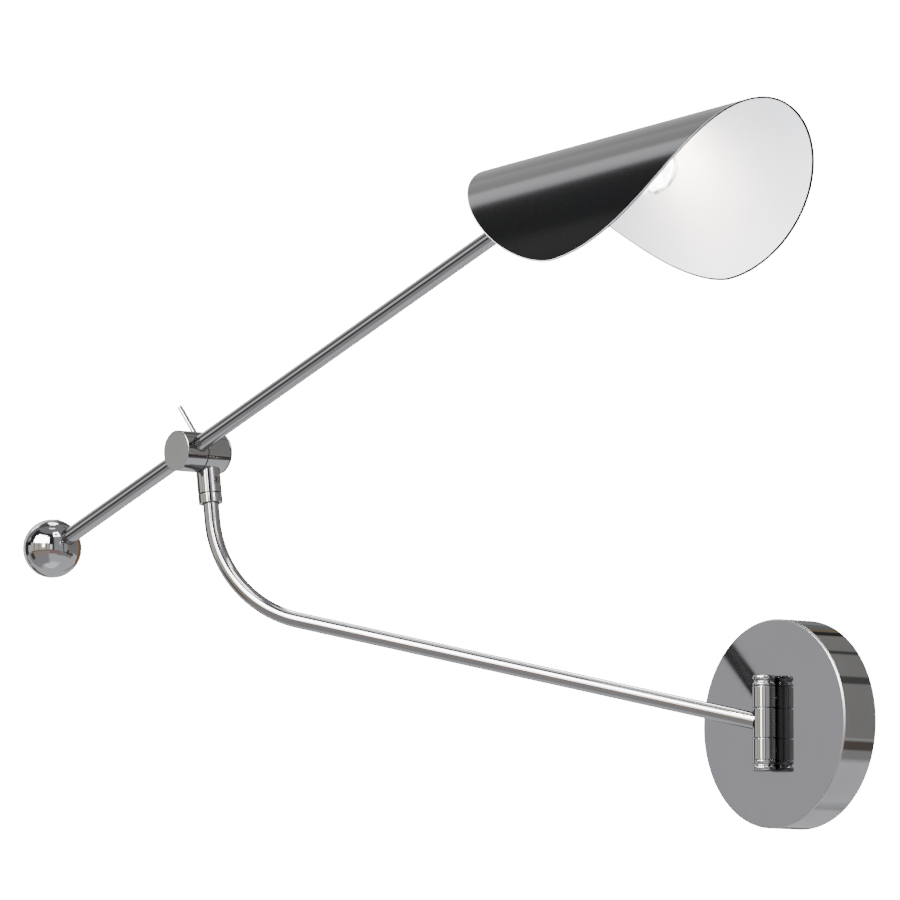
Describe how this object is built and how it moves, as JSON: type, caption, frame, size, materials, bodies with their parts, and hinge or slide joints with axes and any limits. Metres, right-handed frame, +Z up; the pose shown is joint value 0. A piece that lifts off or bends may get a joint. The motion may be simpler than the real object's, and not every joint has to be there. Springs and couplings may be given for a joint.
{
  "type": "swing arm wall sconce",
  "caption": "Chrome swing arm wall sconce: round wall plate, bent arm on a hinge, tee with lock lever, counterweighted boom and a folded sheet shade over a small globe bulb.",
  "frame": {"origin": "middle of the mounting bracket's back face, on the wall plane, at the centre of the round wall plate", "axes": "+Y into the wall, the lamp stands out towards -Y, +Z up, +X to the right as seen from the room"},
  "size_m": [0.6576, 0.2987, 0.3788],
  "materials": {
    "chrome_plate": "polished chrome plating",
    "chrome_turned": "polished chrome plating on turned parts",
    "chrome_tube": "polished chrome plating on tube",
    "plain_steel": "zinc plated steel",
    "spring_steel": "spring steel",
    "earth_screw": "green passivated steel",
    "brass": "machined brass",
    "shade_paint": "satin black powder coat outside, white inside",
    "black_metal": "satin black",
    "nylon": "black nylon",
    "cable_jacket": "black cable jacket",
    "porcelain": "glazed porcelain",
    "bulb_glass": "clear glass",
    "filament": "phosphor coated LED filament"
  },
  "bodies": {
    "wall_plate": {"backplate": "chrome_plate", "mounting_bracket": "plain_steel", "upper_side_screw": "plain_steel", "lower_side_screw": "plain_steel", "ground_screw": "earth_screw", "terminal_block": "porcelain", "terminal_screw_1": "brass", "terminal_screw_2": "brass", "terminal_screw_3": "brass", "supply_lead": "cable_jacket", "upper_knuckle": "chrome_turned", "lower_knuckle": "chrome_turned", "top_finial": "chrome_turned", "bottom_finial": "chrome_turned", "hinge_pin": "plain_steel", "upper_thrust_washer": "nylon", "lower_thrust_washer": "nylon", "upper_stud_washer": "plain_steel", "lower_stud_washer": "plain_steel", "upper_stud_nut": "plain_steel", "lower_stud_nut": "plain_steel"},
    "arm": {"middle_knuckle": "chrome_turned", "arm_tube": "chrome_tube", "arm_cable": "cable_jacket", "swivel_collar": "chrome_turned", "swivel_spigot": "plain_steel"},
    "tee": {"tee_body": "chrome_turned", "sleeve_set_screw_1": "plain_steel", "sleeve_set_screw_2": "plain_steel", "barrel_rear_cap": "chrome_turned", "friction_disc": "nylon", "spring_washer": "spring_steel"},
    "lever": {"clamp_nut": "plain_steel", "lock_lever": "chrome_turned"},
    "boom": {"barrel_front": "chrome_turned", "retaining_ring": "spring_steel", "rod_set_screw": "plain_steel", "boom_rod": "chrome_tube", "boom_cable": "cable_jacket", "counterweight_ball": "chrome_turned", "ball_set_screw": "plain_steel", "rod_end": "chrome_turned"},
    "head": {"head_fork": "chrome_turned", "pivot_screw": "plain_steel", "pivot_nut": "plain_steel", "shade_bracket": "plain_steel", "socket_nipple": "brass", "socket_cup": "black_metal", "lamp_socket": "porcelain", "socket_shell": "brass", "socket_contact": "brass", "bulb_base": "brass", "bulb_glass": "bulb_glass", "bulb_filaments": "filament", "shade": "shade_paint", "shade_nut_1": "plain_steel", "shade_nut_2": "plain_steel"}
  },
  "joints": [
    {"name": "wall_swing", "type": "hinge", "parent": "wall_plate", "child": "arm", "pos_m": [0, -0.0314, 0], "axis": [0, 0, 1], "range_deg": [-28, 139]},
    {"name": "tee_swivel", "type": "hinge", "parent": "arm", "child": "tee", "pos_m": [-0.27862, -0.22043, 0.16489], "axis": [-0.1464, 0, 0.9892], "range_deg": [-90, 90]},
    {"name": "boom_tilt", "type": "hinge", "parent": "tee", "child": "boom", "pos_m": [-0.27862, -0.22043, 0.16489], "axis": [0, -1, 0], "range_deg": [-60, 50]},
    {"name": "head_tilt", "type": "hinge", "parent": "boom", "child": "head", "pos_m": [0.05363, -0.23319, 0.28562], "axis": [0, -1, 0], "range_deg": [-40, 25]},
    {"name": "lock_lever_turn", "type": "hinge", "parent": "tee", "child": "lever", "pos_m": [-0.27862, -0.22043, 0.16489], "axis": [0, -1, 0], "range_deg": [-55, 0]}
  ]
}
